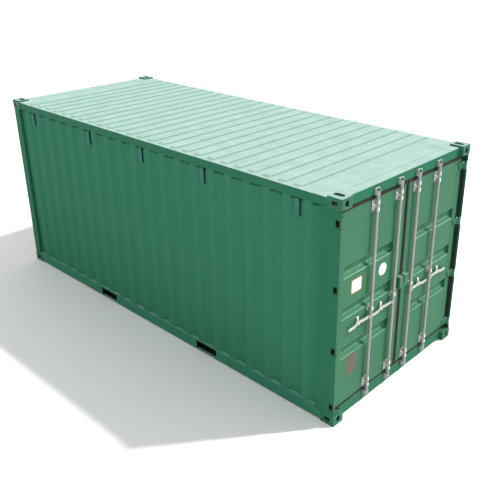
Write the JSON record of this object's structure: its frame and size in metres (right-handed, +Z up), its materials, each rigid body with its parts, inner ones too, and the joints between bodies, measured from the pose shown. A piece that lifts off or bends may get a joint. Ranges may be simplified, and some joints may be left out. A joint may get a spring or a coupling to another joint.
{
  "type": "shipping container",
  "caption": "Green corrugated steel freight container with hinged end doors, locking bars, corner fittings and fork pockets.",
  "frame": {"origin": "centre of the footprint at the underside of the bottom corner fittings", "axes": "+X along the length towards the doors, +Y to the right when facing the doors, +Z up"},
  "size_m": [6.058, 2.438, 2.591],
  "materials": {
    "green_paint": "satin",
    "zinc_gear": "dull zinc",
    "seal_rubber": "matte",
    "deck_wood": "worn plywood",
    "vent_grey": "matte"
  },
  "bodies": {
    "container": {"corner_fittings_top": "green_paint", "corner_fittings_bottom": "green_paint", "door_posts": "green_paint", "blind_posts": "green_paint", "door_header": "green_paint", "door_sill": "green_paint", "blind_rails": "green_paint", "top_rails": "green_paint", "bottom_rails": "green_paint", "side_wall_right": "green_paint", "side_wall_left": "green_paint", "blind_wall": "green_paint", "roof_panel": "green_paint", "roof_corner_plates": "green_paint", "vents": "vent_grey", "floor_boards": "deck_wood", "threshold": "green_paint", "cross_members": "green_paint", "fork_pockets": "green_paint", "keepers": "zinc_gear", "hinge_lugs": "green_paint"},
    "left_door": {"left_leaf_frame": "green_paint", "left_leaf_panel": "green_paint", "left_leaf_seal": "seal_rubber", "left_hinge_blades": "green_paint", "left_bar_brackets": "zinc_gear", "left_handle_retainers": "zinc_gear", "left_lock_cover": "green_paint"},
    "left_inner_bar": {"left_inner_bar": "zinc_gear"},
    "left_inner_handle": {"left_inner_handle": "zinc_gear"},
    "left_outer_bar": {"left_outer_bar": "zinc_gear"},
    "left_outer_handle": {"left_outer_handle": "zinc_gear"},
    "right_door": {"right_leaf_frame": "green_paint", "right_leaf_panel": "green_paint", "right_leaf_seal": "seal_rubber", "right_hinge_blades": "green_paint", "right_bar_brackets": "zinc_gear", "right_handle_retainers": "zinc_gear", "right_lock_cover": "green_paint"},
    "right_inner_bar": {"right_inner_bar": "zinc_gear"},
    "right_inner_handle": {"right_inner_handle": "zinc_gear"},
    "right_outer_bar": {"right_outer_bar": "zinc_gear"},
    "right_outer_handle": {"right_outer_handle": "zinc_gear"}
  },
  "joints": [
    {"name": "left_door_swing", "type": "hinge", "parent": "container", "child": "left_door", "pos_m": [3.008, -1.195, 1.277], "axis": [0, 0, -1], "range_deg": [0, 265]},
    {"name": "left_inner_bar_turn", "type": "hinge", "parent": "left_door", "child": "left_inner_bar", "pos_m": [3.002, -0.172, 1.3], "axis": [0, 0, -1], "range_deg": [-105, 0]},
    {"name": "left_inner_handle_lift", "type": "hinge", "parent": "left_inner_bar", "child": "left_inner_handle", "pos_m": [3.002, -0.208, 1.09], "axis": [1, 0, 0], "range_deg": [-25, 0]},
    {"name": "left_outer_bar_turn", "type": "hinge", "parent": "left_door", "child": "left_outer_bar", "pos_m": [3.002, -0.594, 1.3], "axis": [0, 0, -1], "range_deg": [-105, 0]},
    {"name": "left_outer_handle_lift", "type": "hinge", "parent": "left_outer_bar", "child": "left_outer_handle", "pos_m": [3.002, -0.63, 1.09], "axis": [1, 0, 0], "range_deg": [-25, 0]},
    {"name": "right_door_swing", "type": "hinge", "parent": "container", "child": "right_door", "pos_m": [3.008, 1.195, 1.277], "axis": [0, 0, 1], "range_deg": [0, 265]},
    {"name": "right_inner_bar_turn", "type": "hinge", "parent": "right_door", "child": "right_inner_bar", "pos_m": [3.002, 0.172, 1.3], "axis": [0, 0, 1], "range_deg": [-105, 0]},
    {"name": "right_inner_handle_lift", "type": "hinge", "parent": "right_inner_bar", "child": "right_inner_handle", "pos_m": [3.002, 0.208, 1.09], "axis": [-1, 0, 0], "range_deg": [-25, 0]},
    {"name": "right_outer_bar_turn", "type": "hinge", "parent": "right_door", "child": "right_outer_bar", "pos_m": [3.002, 0.594, 1.3], "axis": [0, 0, 1], "range_deg": [-105, 0]},
    {"name": "right_outer_handle_lift", "type": "hinge", "parent": "right_outer_bar", "child": "right_outer_handle", "pos_m": [3.002, 0.63, 1.09], "axis": [-1, 0, 0], "range_deg": [-25, 0]}
  ]
}
